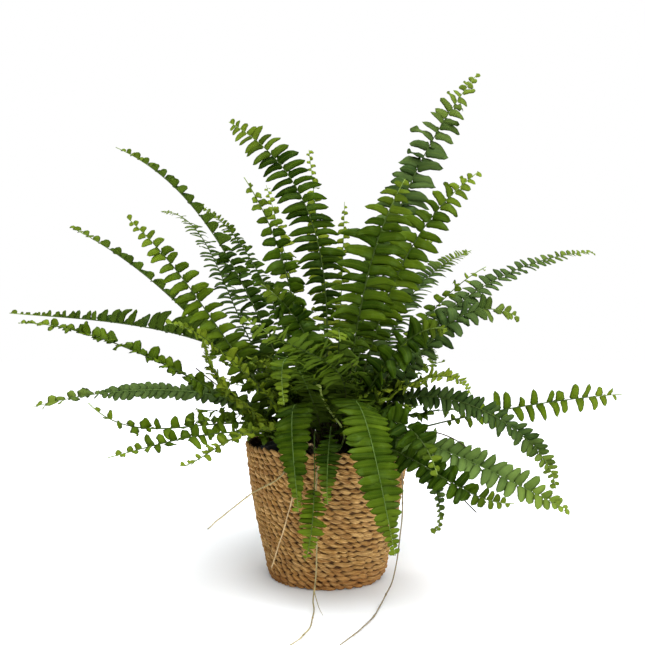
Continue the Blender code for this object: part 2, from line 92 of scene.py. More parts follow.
BACK = (8, 8.5, 0, 10, 0.35, "deep")  # looks of the fronds at the back, after their longest leaflet
FRONDS = (
    Plan("left_high_arch", (-9, 5), -40, ((-60, 30, 235), (-130, 70, 360), (-240, 100, 455)),
        (16, 9.5, 9.5, -30, 12, 0.5, "deep"), shade=0.15,
        outer=(0.56, (15, 16, 12, 0, (15, 125), 0.2, "deep"), (-0.2, 1.0, 0.36))),
    Plan("left_back_fine", (-7, 14), -50, ((-40, 55, 230), (-85, 100, 325), (-150, 150, 395)),
        (11, 6.5, 6.5, -30, 10, 0.5, "deep"), shade=0.25),
    Plan("left_mid_arch", (-25, 8), -30, ((-95, 20, 210), (-175, 40, 290), (-280, 60, 360)),
        (15, 17, 12, 0, (15, 125), 0.25, "deep"), shade=0.4, ends=(0.03, 0.6, 0.36)),
    Plan("left_open", (-17, -6), -80, ((-80, -25, 210), (-130, -45, 285), (-190, -60, 355)),
        (20, 12, 9.5, 0, 12, 0.25, "bright"), shade=0.55, ends=(0.08, 0.35, 0.6)),
    Plan("left_back_hooked", (-17, 13), -30,
        ((-60, 55, 195), (-100, 90, 265), (-140, 130, 345), (-200, 160, 390)),
        (18, 6.5, 4.5, -30, 10, 0.4, "blue")),
    Plan("tall_dark", (-1, 2), -90, ((0, 0, 255), (-20, 0, 370), (-100, 0, 460)),
        (25, 9.2, 8.2, 0, 4, 0.15, "deep"), shade=0.18, ends=(0.33, 0.18, 0.6), lean=-6),
    Plan("left_upright", (-8, -7), -85, ((-25, -30, 235), (-45, -40, 320), (-80, -50, 395)),
        (16, 11.5, 9.5, 0, 15, 0.8, "deep")),
    Plan("back_pale_left", (-10, 23), -80, ((-35, 70, 280), (-70, 120, 415)),
        (13, 11, 8, 0, 10, 0.6, "yellow"), pale=True),
    Plan("back_pale_tall", (-1, 12), -90, ((-5, 60, 290), (-20, 90, 450)),
        (13, 11, 8, 0, 10, 0.6, "yellow"), pale=True),
    Plan("back_pale_short", (6, 17), -90, ((15, 55, 270), (20, 80, 390)),
        (11, 10, 7, 0, 10, 0.6, "yellow"), pale=True),
    Plan("tallest", (8, 7), -95, ((40, 20, 265), (85, 30, 395), (160, 40, 520)),
        (23, 10, 10.5, 0, 10, 0.7, "blue"), shade=0.5, ends=(0.34, 0.21, 0.6)),
    Plan("front_bright", (7, -10), -90, ((25, -50, 230), (40, -80, 310), (70, -100, 385)),
        (33, 11, 10.5, 0, 8, 0.45, "bright"), shade=0.12, ends=(0.36, 0.26, 0.6)),
    Plan("right_bright", (15, -4), -95, ((45, -20, 235), (80, -40, 325), (145, -50, 400)),
        (24, 11, 10.5, 0, 8, 0.45, "bright"), shade=0.42, ends=(0.32, 0.26, 0.6)),
    Plan("right_back_fine", (20, 14), -120, ((55, 50, 210), (95, 90, 285), (170, 130, 340)),
        (18, 5.5, 5.6, 20, 15, 0.25, "blue"), shade=0.5, lean=(36, -22)),
    Plan("right_high_arch", (25, 10), -130, ((85, 35, 225), (180, 60, 300), (300, 90, 335)),
        (19, 10, 10, 15, 10, 0.2, "blue"), shade=0.55, ends=(0.03, 0.55, 0.55), lean=(32, -16)),
    Plan("right_mid", (23, -10), -160, ((70, -40, 195), (115, -70, 255), (175, -90, 260)),
        (21, 9.5, 9, 0, 10, 0.4, "blue"), shade=0.3, lean=(24, 0)),
    Plan("right_short", (22, 3), -130, ((65, 15, 200), (110, 30, 265), (170, 40, 315)),
        (13, 13, 8, 0, 20, 0.9, "bright"), ends=(0.35, 0.26, 0.6)),
    Plan("right_level", (35, -3), -120, ((110, -20, 155), (205, -30, 175), (290, -30, 185)),
        (16, 12.5, 8, 20, 4, 0.4, "bright"), shade=0.85, ends=(0.34, 0.16, 0.6)),
    Plan("right_arch_down", (29, -21), 175, ((85, -60, 185), (160, -100, 165), (200, -120, 110)),
        (14, 6.2, 6.5, 25, 10, 0.3, "blue"), shade=0.35, ends=(0.03, 0.2, 0.6), lean=18),
    Plan("right_low_broad", (25, -28), 165, ((80, -80, 145), (145, -130, 125), (200, -160, 100)),
        (17.5, 8.2, 8.8, 0, 15, 0.2, "fresh"), shade=0.75, ends=(0.03, 0.19, 0.6), lean=8,
        pale=True, dry=((58, -52, 148), (92, -100, 157), (115, -104, 150), (133, -108, 136))),
    Plan("right_low_dark", (17, -32), 150, ((60, -100, 140), (105, -150, 120), (150, -180, 110)),
        (15, 8, 8, 0, 20, 0.4, "deep"), shade=0.15, sprigs=(3, -45, 30, 25),
        dry=((85, -125, 128), (110, -130, 112), (119, -132, 101), (128, -134, 92))),
    Plan("right_hanging_small", (33, -12), 170, ((70, -45, 150), (100, -65, 105), (100, -75, 60)),
        (8, 6, 6, 0, 20, 0.6, "blue")),
    Plan("right_yellow_small", (24, -17), 163, ((55, -40, 180), (100, -75, 205), (130, -95, 190)),
        (13, 5, 5, 0, 10, 0.4, "yellow"), sprigs=(3, -20, 35, 45)),
    Plan("front_hanging_broad", (10, -25), 92, ((25, -100, 185), (40, -155, 140), (55, -170, 65)),
        (23, 6.7, 8.7, 0, 2, 0.1, "bright"), shade=0.17, ends=(0.14, 0.25, 0.8), pale=True),
    Plan("front_hanging_left", (-9, -25), 85, ((-30, -90, 180), (-30, -135, 145), (-25, -145, 95)),
        (17.5, 6.4, 9.4, 0, 2, 0.12, "bright"), shade=0.0, ends=(0.12, 0.32, 0.85), pale=True),
    Plan("front_hanging_dark", (2, -31), 90, ((3, -80, 158), (0, -130, 135), (0, -140, 100)),
        (13, 5, 6, 0, 4, 0.25, "deep"), shade=0.2, ends=(0.5, 0.34, 0.7), pale=True),
    Plan("front_hanging_bright", (-6, -35), 90, ((-12, -75, 150), (-12, -110, 105), (-20, -115, 45)),
        (21, 5.2, 6.5, 0, 4, 0.5, "bright"), shade=0.75, ends=(0.63, 0.34, 0.8), pale=True),
    Plan("front_hanging_short", (-2, -22), 78, ((-20, -90, 200), (-35, -150, 225), (-35, -190, 190)),
        (13, 6, 6.5, 0, 10, 0.4, "bright"), shade=0.1, pale=True),
    Plan("left_long", (-33, 2), 20, ((-90, 0, 220), (-210, -10, 255), (-320, -10, 265)),
        (28, 10.5, 9, 0, 72, 0.5, "deep"), shade=0.12, ends=(0.03, 0.48, 1.2), lean=-24),
    Plan("left_long_lower", (-27, -15), -10, ((-100, -50, 185), (-190, -90, 235), (-275, -110, 255)),
        (13, 8, 10, 20, 30, 0.7, "bright"), dry=((-85, -45, 180), (-105, -52, 195), (-125, -58, 212))),
    Plan("left_level", (-35, -7), -20, ((-95, -30, 180), (-190, -50, 190), (-280, -60, 175)),
        (10, 6.5, 9.5, -20, 5, 0.2, "blue"), shade=0.9, lean=22, pale=True,
        outer=(0.76, (13, 10, 9, 20, 25, 0.8, "yellow"), (0, 0.3, 0.6))),
    Plan("left_low", (-32, -18), -10, ((-85, -60, 160), (-150, -100, 160), (-210, -120, 185)),
        (13, 15, 8.5, 10, 45, 0.9, "bright"), shade=0.55),
    Plan("left_low_front", (-26, -26), 20, ((-75, -90, 155), (-130, -140, 155), (-180, -170, 145)),
        (12, 10.5, 8, 20, 25, 0.8, "bright"), sprigs=(3, -150, 35, 22)),
    Plan("left_clumped", (-18, -32), 60, ((-60, -110, 160), (-95, -160, 150), (-120, -180, 140)),
        (12, 7, 6, 10, 30, 0.9, "yellow")),
    Plan("left_thin_young", (-20, -23), 40, ((-65, -80, 170), (-95, -120, 205), (-105, -140, 240)),
        (6, 5, 18, 0, 10, 0.6, "yellow"), ends=(0.2, 0.27, 0.6)),
    Plan("left_yellow_small", (-17, -15), 10, ((-60, -70, 190), (-100, -115, 235), (-135, -150, 255)),
        (11, 7, 8, 0, 20, 0.7, "yellow"), shade=0.05, sprigs=(4, -165, 30, 40)),
    Plan("front_reaching_left", (5, -19), 80, ((15, -80, 200), (-15, -160, 230), (-65, -220, 260)),
        (17, 8, 8.5, 45, 10, 0.5, "bright"), sprigs=(3, -120, 25, 55)),
    Plan("inner_left", (-5, -14), -70, ((-10, -60, 210), (-30, -80, 260), (-60, -100, 290)),
        (19, 9.5, 9.5, 0, 15, 0.75, "deep"), shade=0.15, ends=(0.2, 0.26, 0.6), sprigs=(9, -140, 45, 62)),
    Plan("inner_right", (14, -15), -160, ((45, -55, 200), (75, -85, 240), (105, -110, 250)),
        (19, 9.5, 9.5, 0, 15, 0.75, "deep"), shade=0.15, ends=(0.2, 0.26, 0.6), sprigs=(9, -40, 45, 60)),
    Plan("inner_front", (1, -13), 90, ((10, -65, 220), (10, -110, 250), (10, -160, 240)),
        (18, 9, 9, 0, 10, 0.8, "deep"), shade=0.25, ends=(0.25, 0.26, 0.6), sprigs=(9, -95, 60, 74)),
    Plan("inner_low_right", (17, -23), 140, ((50, -90, 165), (75, -135, 160), (90, -165, 130)),
        (16, 9, 9, 0, 15, 0.8, "deep"), shade=0.15, sprigs=(4, -35, 35, 35)),
    Plan("back_upright", (10, 26), -105, ((30, 80, 240), (60, 150, 330), (110, 220, 370)),
        (18, *BACK), sprigs=(4, 70, 50, 65)),
    Plan("back_left", (-5, 32), -75, ((-20, 90, 230), (-50, 170, 290), (-100, 240, 310)),
        (17, *BACK), sprigs=(3, 130, 40, 55)),
    Plan("back_right", (24, 25), -120, ((60, 90, 190), (110, 170, 220), (140, 240, 200)),
        (17, *BACK), sprigs=(4, 50, 40, 50)),
    Plan("back_left_low", (-24, 24), -49, ((-70, 80, 190), (-120, 160, 220), (-150, 220, 200)),
        (16, *BACK), sprigs=(3, 150, 40, 35)),
    Plan("back_middle", (4, 35), -90, ((0, 100, 200), (10, 180, 230), (20, 260, 200)),
        (17, *BACK), sprigs=(3, 90, 40, 40)),
    Plan("back_right_low", (15, 33), -114, ((40, 100, 165), (70, 150, 130), (90, 180, 80)),
        (15, *BACK), sprigs=(3, 60, 40, 30)),
    Plan("back_hanging", (-15, 33), -62, ((-50, 100, 165), (-80, 145, 140), (-90, 170, 100)), (15, *BACK)),
    Plan("back_right_upright", (12, 14), -120, ((40, 50, 235), (75, 90, 310), (120, 115, 350)),
        (15, 7.5, 8, 0, 10, 0.35, "deep")),
)
INNER_ENDS = (0.03, 0.08, 0.4)  # of a frond that changes on its way
SPRIG_LOOKS = (14, 8, 7.5, 0, 15, 1.0, None)
SPRIG_ENDS = (0.26, 0.26, 0.6)

# Thin creeping stems, from the crown outwards. The two long ones end lying on the floor.
RUNNERS = {
    "runner_left": ((-14, -38, 132), (-28, -88, 150), (-40, -105, 120), (-66, -115, 105), (-88, -120, 89),
                    (-105, -125, 75)),
    "runner_front": ((-3, -40, 131), (-6, -88, 141), (-10, -99, 110), (-10, -98, 55), (-11, -99, 25),
                     (-13, -104, 7), (-12, -112, 1.8), (-13, -130, 1.8), (-15, -158, 1.8), (-21, -178, 1.8),
                     (-25, -188, 1.8), (-34, -203, 1.8)),
    "runner_right": ((24, -36, 131), (56, -72, 145), (68, -80, 120), (70, -70, 80), (67, -63, 40),
                     (61, -75, 16), (53, -90, 6), (46, -108, 1.8), (39, -134, 1.8), (26, -165, 1.8),
                     (17, -182, 1.8), (10, -195, 1.8), (3, -207, 1.8)),
    "runner_dry": ((-10, -40, 131), (-20, -90, 140), (-38, -86, 73), (-52, -72, 26)),
}
# A side branch: where it leaves its runner, as a share, and its route
FORKS = {"runner_front": (0.62, ((-8, -120, 6), (-4, -134, 3)))}

# The young frond, still curled at its tip, and the shares of its length with a leaflet
CROZIER = ((11, -32, 130), (15, -45, 152), (3, -55, 170), (-7, -60, 194))
CROZIER_LEAFLETS = (0.25, 0.36, 0.48, 0.60, 0.71, 0.81, 0.90)

# Basket, all radii to its outside
BASKET_LOW, BASKET_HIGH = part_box("basket")
RIM_RADIUS = 0.083
WALL_FOOT_RADIUS = 0.0625
CONTACT_RADIUS = 0.054
FOOT_ROUNDING = 0.018
BELLY = 0.0025
BASKET_HEIGHT = 0.133
ROPE_DEPTH = 0.0031  # half its size from outside to inside
ROPE_RADIUS = 0.0024  # half its height, pressed flat by the rows above
COURSE_PITCH = 0.0049
TWIST_PITCH = 0.022
PLY_STEP = 0.0018  # between a ply's sections, each with that many sides
PLY_SIDES = 8
TIGHT_ANGLE = math.radians(15)  # opposite the side where the rope is twisted tightest
TIGHT_SHARE = 0.45

LINER_INSET = 0.0071  # from the basket's outside
FILM_THICKNESS = 0.0003
POT_FOOT_RADIUS = 0.046
HUB_RADIUS = 0.0005  # of the pinhole in the middle of a turned piece

# Crown
CROWN_LOW, CROWN_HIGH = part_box("crown")
CROWN_RADIUS = CROWN_HIGH.x
CROWN_FALL = 0.010
CROWN_REACH = 0.036
STALK_LIFT = 0.0025

# Leaflet mesh
LEAF_THICKNESS = 0.0003
LEAST_LENGTH = 0.0028
LEAST_BREADTH = 0.0024
LEVELLED = 0.65  # how far the leaflets of an upright frond turn back to level
LEAF_ROWS = np.array([0, 0.05, 0.12, 0.22, 0.35, 0.49, 0.63, 0.76, 0.87, 0.945, 0.985, 1.0])
LEAF_LANES = np.array([-1, -0.5, 0, 0.5, 1.0])
CELL_MARGIN = 0.08
STALK_STRIP = 0.06  # lowest part of a bake map, kept for the stalks
MIDRIB_RADIUS = 0.0011
ROOTED = 0.005  # length of a stalk inside the crown
DRY_RADIUS = 0.0006
RUNNER_RADIUS = 0.00085
FORK_RADIUS = 0.0005
COIL_RADIUS = 0.0018


# ---- finishes ----


def maths(operation, flipped=False):
    """A method that adds a Math node."""

    def method(self, other=0):
        first, second = (other, self) if flipped else (self, other)
        return self.finish.add("Math", {0: first, 1: second}, operation=operation)

    return method


class Wire:
    """A socket that can be added, multiplied and compared like a number."""

    def __init__(self, finish, socket):
        self.finish = finish
        self.socket = socket

    __add__ = __radd__ = maths("ADD")
    __sub__ = maths("SUBTRACT")
    __rsub__ = maths("SUBTRACT", True)
    __mul__ = __rmul__ = maths("MULTIPLY")
    __gt__ = maths("GREATER_THAN")
    __abs__ = maths("ABSOLUTE")


class Finish:
    """A material, or the world, and its nodes."""

    def __init__(self, name, kind="materials"):
        self.made = getattr(bpy.data, kind).new(name)
        self.made.use_nodes = True
        self.tree = self.made.node_tree
        self.tree.nodes.clear()

    def add(self, kind, inputs=None, output=0, stops=(), **settings):
        """A node of that kind with its settings, then its sockets' values or links. Gives one output."""
        node = self.tree.nodes.new("ShaderNode" + kind)
        for key, value in settings.items():
            setattr(node, key, value)
        elements = node.color_ramp.elements if stops else ()
        while len(elements) < len(stops):
            elements.new(0.5)
        for element, (place, colour) in zip(elements, stops):
            element.position = place
            element.color = (*colour, 1)
        for key, value in (inputs or {}).items():
            if isinstance(value, Wire):
                self.tree.links.new(value.socket, node.inputs[key])
            else:
                node.inputs[key].default_value = value
        return Wire(self, node.outputs[output])

    def blend(self, share, first, second):
        """Two colours, mixed."""
        first, second = (c if isinstance(c, Wire) else (*c, 1) for c in (first, second))
        return self.add("Mix", {0: share, 6: first, 7: second}, 2, data_type="RGBA", clamp_factor=True)

    def layers(self, colour, *layers):
        """A colour with others laid over it in turn, each with its share."""
        for share, over in layers:
            colour = self.blend(share, colour, over)
        return colour

    def ramp(self, value, *stops):
        return self.add("ValToRGB", {0: value}, stops=stops)

    def smooth(self, value, low, high):
        """0 at low, 1 at high and a soft step between."""
        return self.add("MapRange", {0: value, 1: low, 2: high}, interpolation_type="SMOOTHSTEP")

    def place(self):
        return self.add("TexCoord", output=3)

    def noise(self, scale, detail=3, rough=0.55, place=None):
        place = place or self.place()
        return self.add("TexNoise", {"Vector": place, "Scale": scale, "Detail": detail, "Roughness": rough})

    def map(self, name):
        """The two numbers of one of the mesh's own maps."""
        first = self.add("SeparateXYZ", {0: self.add("UVMap", uv_map=name)})
        return first, Wire(self, first.socket.node.outputs[1])

    def bundle(self, x, y, z=0):
        return self.add("CombineXYZ", {0: x, 1: y, 2: z})

    def bump(self, height, depth, strength=1.0):
        return self.add("Bump", {"Height": height, "Distance": depth, "Strength": strength})

    def solid(self, colour, rough, height, depth, strength=1.0, gloss=0.5):
        """Done, as an opaque surface with bumps that deep."""
        normal = self.bump(height, depth, strength)
        inputs = {"Base Color": colour, "Roughness": rough, "Normal": normal, "Specular IOR Level": gloss}
        return self.done(self.add("BsdfPrincipled", inputs))

    def done(self, surface, kind="Material"):
        output = self.tree.nodes.new("ShaderNodeOutput" + kind)
        self.tree.links.new(surface.socket, output.inputs["Surface"])
        return self.made


# Darkest and lightest colour of each green, and its slot
GREENS = {
    "deep": ((0.005, 0.018, 0.0003), (0.060, 0.114, 0.003), "leaf_deep_green"),
    "blue": ((0.011, 0.030, 0.005), (0.084, 0.134, 0.034), "leaf_blue_green"),
    "bright": ((0.010, 0.030, 0.0004), (0.112, 0.178, 0.007), "leaf_bright_green"),
    "fresh": ((0.020, 0.046, 0.006), (0.122, 0.192, 0.044), "leaf_bright_green"),
    "yellow": ((0.055, 0.088, 0.002), (0.200, 0.255, 0.018), "leaf_yellow_green"),
}
TIP_GREEN = (0.190, 0.260, 0.020)
UNDERSIDE = (0.080, 0.130, 0.014)
# Painted sheen: pale cool spots that stand in for the leaflets' gloss highlights
PAINTED_SHEEN = (0.085, 0.150, 0.035)
CROWN_SHADE = (0.003, 0.011, 0.0004)  # painted shade on the leaflets near the crown, where the dense foliage shades them
SEEN_THROUGH = (0.22, 0.36, 0.01)


def leaf_finish(tone):
    """Leaflets: veined, glossy above, paler and dull below, yellower towards the frond's tip."""
    f = Finish(f"leaf_{tone}")
    along, across = f.map("leaflet")
    age, chance = f.map("growth")
    below = across > 1.5
    off_vein = abs(across - below * 2 - 0.5) * 2
    dark, light, _ = GREENS[tone]
    mottle = f.noise(90, 4)
    side_vein = f.add("Math", {0: along * 11 - off_vein * 1.6}, operation="FRACT")
    midvein = 1 - f.smooth(off_vein, 0.03, 0.12)
    colour = f.layers(
        f.blend(f.smooth(mottle * 0.4 + chance * 0.85, 0.1, 1.1), dark, light),
        (f.smooth(abs(side_vein - 0.5), 0.30, 0.5) * 0.15, light),
        # painted sheen in spots, in place of gloss highlights
        (f.smooth(mottle, 0.52, 0.72) * 0.35, PAINTED_SHEEN),
        (midvein * 0.14, TIP_GREEN),
        (f.smooth(off_vein, 0.82, 1.0) * 0.15, light),
        # painted shade at each leaflet's foot, where the leaflets crowd the midrib
        ((1 - f.smooth(along, 0.0, 0.5)) * 0.4, dark),
        (f.smooth(age + chance * 0.15, 0.82, 1.15) * 0.75, TIP_GREEN),
        # painted shade on the leaflets near the crown
        ((1 - f.smooth(age, 0.08, 0.55)) * 0.82, CROWN_SHADE),
        (below * 0.5, UNDERSIDE),
    )
    normal = f.bump(mottle * 0.8 - midvein * 0.8, 0.00025, 0.3)
    upper = f.add("BsdfPrincipled", {
        "Base Color": colour, "Roughness": 0.42 + mottle * 0.16 + below * 0.2, "Normal": normal,
        "Specular IOR Level": 0.03,
    })
    back = f.add("BsdfTranslucent", {"Color": f.blend(0.4, colour, SEEN_THROUGH), "Normal": normal})
    return f.done(f.add("MixShader", {0: 0.22, 1: upper, 2: back}))


def stalk_finish(name, middle):
    """Midribs: dark brown at the foot, the given green further up and yellowish at the tip."""
    f = Finish(name)
    along, around = f.map("leaflet")
    age = f.map("growth")[0]
    fleck = f.noise(2, place=f.bundle(along * 160, around * 3))
    colour = f.ramp(
        age, (0.0, (0.020, 0.010, 0.004)), (0.12, (0.035, 0.026, 0.008)), (0.32, middle), (0.85, middle),
        (1.0, (0.160, 0.230, 0.040)),
    )
    colour = f.blend(f.smooth(fleck, 0.55, 0.75) * 0.5, colour, (0.030, 0.020, 0.008))
    return f.solid(colour, 0.5 + fleck * 0.2, fleck, 0.0002, 0.6, 0.15)


def seagrass_finish():
    """Twisted seagrass: long fibres, straw to reddish brown, with painted shade where two plies meet."""
    f = Finish("seagrass")
    along, around = f.map("strand")
    tone, front = f.map("ply")
    turn = {0: around * math.tau}
    sine, cosine = (f.add("Math", turn, operation=kind) * 0.9 for kind in ("SINE", "COSINE"))
    fibre = f.noise(2.4, 6, 0.65, f.bundle(along * 60 + tone * 37, sine, cosine))
    height = f.add("SeparateXYZ", {0: f.place()}, 2)
    colour = f.layers(
        f.ramp(
            fibre, (0.32, (0.095, 0.035, 0.007)), (0.43, (0.310, 0.146, 0.034)),
            (0.54, (0.535, 0.305, 0.086)), (0.66, (0.940, 0.640, 0.270)),
        ),
        (f.smooth(tone, 0.4, 1.0) * 0.35, (0.580, 0.370, 0.155)),
        ((1 - f.smooth(tone, 0.0, 0.5)) * 0.45, (0.230, 0.095, 0.027)),
        (f.smooth(f.noise(42), 0.46, 0.66) * 0.30, (0.320, 0.135, 0.034)),
        ((1 - f.smooth(height, 0.0, 0.030)) * 0.5, (0.340, 0.120, 0.026)),
        (f.smooth(f.noise(15, 2), 0.5, 0.7) * 0.25, (0.500, 0.310, 0.115)),
        # painted shade in the grooves, where a ply turns inwards or lies behind the other
        ((1 - f.smooth(front, 0.20, 0.68)) * 0.90, (0.045, 0.017, 0.006)),
    )
    return f.solid(colour, 0.62 + fibre * 0.2, fibre, 0.0018, gloss=0.2)


def film_finish():
    """Thin black liner film, creased and glossy."""
    f = Finish("liner_film")
    crease = f.noise(160, 4, 0.6)
    colour = f.blend(f.smooth(crease, 0.4, 0.75), (0.006, 0.006, 0.007), (0.030, 0.032, 0.036))
    return f.solid(colour, 0.2 + crease * 0.2, crease, 0.0012, 0.8)


def pot_finish():
    """Black recycled plastic of the nursery pot."""
    f = Finish("pot_plastic")
    dust = f.noise(60, 4)
    colour = f.blend(f.smooth(dust, 0.5, 0.75) * 0.5, (0.012, 0.012, 0.013), (0.060, 0.045, 0.032))
    return f.solid(colour, 0.36 + dust * 0.3, f.noise(900), 0.0002, 0.5)


def soil_finish():
    f = Finish("potting_soil")
    crumb = f.noise(420, 5, 0.7)
    colour = f.ramp(
        crumb, (0.3, (0.006, 0.004, 0.003)), (0.55, (0.022, 0.013, 0.008)), (0.8, (0.075, 0.045, 0.025)),
    )
    return f.solid(colour, 0.75 + f.noise(40, 2) * 0.25, crumb, 0.0015)


def crown_finish():
    """Rootstock under dark brown scales."""
    f = Finish("rootstock")
    streak = f.noise(240, 5, 0.65)
    colour = f.ramp(
        streak, (0.3, (0.010, 0.006, 0.003)), (0.55, (0.040, 0.022, 0.010)), (0.8, (0.120, 0.070, 0.030)),
    )
    return f.solid(colour, 0.85, streak, 0.0015)


def runner_finish(name, pale, dark):
    """Wiry runner: straw coloured with dark flecks and joints."""
    f = Finish(name)
    along, around = f.map("leaflet")
    fleck = f.noise(1.7, 4, 0.6, f.bundle(along * 90, around * 2))
    colour = f.blend(f.smooth(fleck, 0.48, 0.70), pale, dark)
    return f.solid(colour, 0.6 + fleck * 0.2, fleck, 0.0003, 0.8)


# ---- mesh helpers ----


class Skin:
    """Points, faces and maps gathered for one mesh."""

    def __init__(self):
        self.points = []
        self.faces = []
        self.finish = []
        self.maps = {}
        self.count = 0

    def add(self, points, faces, finish=0, **maps):
        """Faces are rows of point numbers that start at these points, so a negative one is an earlier point.
        Each map has two numbers for each face corner."""
        faces = np.asarray(faces)
        rows = (faces + self.count).reshape(-1, faces.shape[-1]).tolist()
        self.points.append(np.reshape(points, (-1, 3)))
        self.count += len(self.points[-1])
        self.faces += rows
        self.finish += [finish] * len(rows)
        for name, pair in maps.items():
            pair = [np.broadcast_to(values, faces.shape) for values in pair]
            self.maps.setdefault(name, []).append(np.stack(pair, -1).reshape(-1, 2))

    def piece(self, name, finishes, slot, node):
        mesh = bpy.data.meshes.new(name)
        mesh.from_pydata(np.concatenate(self.points).tolist(), [], self.faces)
        for material in finishes:
            mesh.materials.append(material)
        mesh.polygons.foreach_set("material_index", self.finish)
        mesh.polygons.foreach_set("use_smooth", [True] * len(self.faces))
        for key, pairs in self.maps.items():
            layer = mesh.uv_layers.new(name=key)
            layer.uv.foreach_set("vector", np.concatenate(pairs).astype(np.float32).ravel())
        mesh.update()
        thing = bpy.data.objects.new(name, mesh)
        bpy.context.scene.collection.objects.link(thing)
        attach(thing, BODY)
        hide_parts(node)


def round_turn(count):
    """That many angles, evenly spaced round a full turn."""
    return math.tau * np.arange(count) / count


def quads(numbers):
    """Faces of a grid of point numbers."""
    corners = numbers[:-1, :-1], numbers[1:, :-1], numbers[1:, 1:], numbers[:-1, 1:]
    return np.stack(corners, -1).reshape(-1, 4)


def tube_faces(rings, sides, closed=False):
    """Quads between rings of points, with each corner's ring and place round it as whole numbers."""
    ring, side = np.indices((rings + closed, sides + 1))
    return tuple(quads(grid)[:, [0, 3, 2, 1]] for grid in (ring % rings * sides + side % sides, ring, side))


def add_tube(skin, line, radii, ages, finish=0, sides=7, strip=(0.005, 0.045)):
    """A round stem with a cap at each end. Its bake map is a strip with the caps at the strip's end."""
    turn = round_turn(sides)[:, None]
    up, across = frames(line, 17)[1:, :, None]
    radii, ages = (np.broadcast_to(values, len(line)) for values in (radii, ages))
    faces, rings_at, sides_at = tube_faces(len(line), sides)
    along = distances(line)
    low, high = strip
    skin.add(
        line[:, None] + (np.cos(turn) * up + np.sin(turn) * across) * radii[:, None, None], faces, finish,
        leaflet=(along[rings_at], sides_at / sides), growth=(ages[rings_at], 0.5),
        OFBake=(0.95 * rings_at / (len(line) - 1), low + (high - low) * sides_at / sides),
    )
    for ring, order, middle in ((0, np.arange(sides)[::-1], 0.965), (len(line) - 1, np.arange(sides), 0.985)):
        angle = turn[order].T
        skin.add(
            [], [(ring - len(line)) * sides + order], finish,
            leaflet=(along[ring], 0.5), growth=(ages[ring], 0.5),
            OFBake=(middle + 0.008 * np.cos(angle), low + (high - low) * (0.5 + 0.4 * np.sin(angle))),
        )


def smoothed_noise(dice, count, step):
    """Random values from -1 to 1 that change smoothly, one new value every step."""
    knots = dice.uniform(-1, 1, max(4, int(count / step) + 3))
    place = np.linspace(0, len(knots) - 1.001, count)
    low = place.astype(int)
    share = place - low
    return np.interp(low + share * share * (3 - 2 * share), np.arange(len(knots)), knots)


def unit(vectors):
    return vectors / np.linalg.norm(vectors, axis=-1, keepdims=True)


def level_way(angle):
    return np.array([math.cos(angle), math.sin(angle), 0])


def turned(first, second, degrees):
    """Two directions turned together, the first towards the second."""
    angle = np.radians(degrees)[:, None]
    cos, sin = np.cos(angle), np.sin(angle)
    return first * cos + second * sin, second * cos - first * sin


# ---- lines that the plant grows along ----


def crown_height(radius):
    return CROWN_HIGH.z - CROWN_FALL * (radius / CROWN_REACH) ** 2


def through(points, count):
    """A smooth curve through points that are evenly spaced along it."""
    number = len(points)
    place = np.linspace(0, number - 1, count)
    weights = [np.prod([(place - j) / (i - j) for j in range(number) if j != i], 0) for i in range(number)]
    return np.transpose(weights) @ points


def distances(line):
    """Distance of each point along a line."""
    return np.concatenate([[0], np.cumsum(np.linalg.norm(np.diff(line, axis=0), axis=1))])


def even_steps(curve, count):
    """The curve's points moved to even distances along it."""
    along = distances(curve)
    wanted = np.linspace(0, along[-1], count)
    return np.stack([np.interp(wanted, along, column) for column in curve.T], axis=1)


def smooth_line(points, count):
    """A curve through points at uneven distances, in millimetres."""
    points = np.array(points, float) * MM
    padded = np.concatenate([points[:1], points, points[-1:]])
    share = np.arange(count)[:, None] / count
    curve = []
    for before, start, end, after in zip(padded, padded[1:], padded[2:], padded[3:]):
        curve.extend(0.5 * (
            2 * start + (end - before) * share
            + (2 * before - 5 * start + 4 * end - after) * share ** 2
            + (3 * start - before - 3 * end + after) * share ** 3
        ))
    return np.array(curve + [points[-1]])


def frames(line, compass):
    """Tangent, upper face and side direction at each point, turning no more than the line itself does."""
    tangents = unit(np.gradient(line, axis=0))
    face = level_way(math.radians(compass))
    faces = []
    for tangent in tangents:
        face = unit(face - tangent * face.dot(tangent))
        faces.append(face)
    return np.array([tangents, faces, np.cross(tangents, faces)])


def at_places(values, share):
    """Values along a line read at shares of its length."""
    place = share * (len(values) - 1)
    return np.stack([np.interp(place, np.arange(len(values)), column) for column in values.T], 1)


# ---- fronds ----


def leaflet_grid():
    """Place along and across of each point of a leaflet's upper skin, then of its lower skin's inner
    points, with the quads of both skins. The two skins share their outline."""
    points = [(u, v, 0) for u in LEAF_ROWS for v in LEAF_LANES]
    upper = np.arange(len(points)).reshape(len(LEAF_ROWS), -1)
    points += [(u, v, 1) for u in LEAF_ROWS[1:-1] for v in LEAF_LANES[1:-1]]
    lower = upper.copy()
    lower[1:-1, 1:-1] = np.arange(upper.size, len(points)).reshape(len(LEAF_ROWS) - 2, -1)
    return np.array(points, float), np.concatenate([quads(upper), quads(lower)[:, [0, 3, 2, 1]]])


GRID, LEAF_QUADS = leaflet_grid()


def outline(along, side, blunt):
    """Half breadth of a leaflet, as a share of its widest. The side towards the frond's tip has an ear.
    A high blunt gives a round end and a low one a pointed end."""
    foot = np.minimum(1, 0.66 + 4.0 * along)
    body = foot * (1 - 0.12 * along) * (1 - along ** blunt) ** 0.52
    ear = np.where(side > 0, 0.26 * np.exp(-((along - 0.09) / 0.07) ** 2), 0)
    rows = np.searchsorted(LEAF_ROWS, along)
    scallop = 1 + 0.03 * np.where(rows % 2 == 0, 1, -1) * (along > 0.15)
    return np.maximum(body * scallop + ear, 0.08)


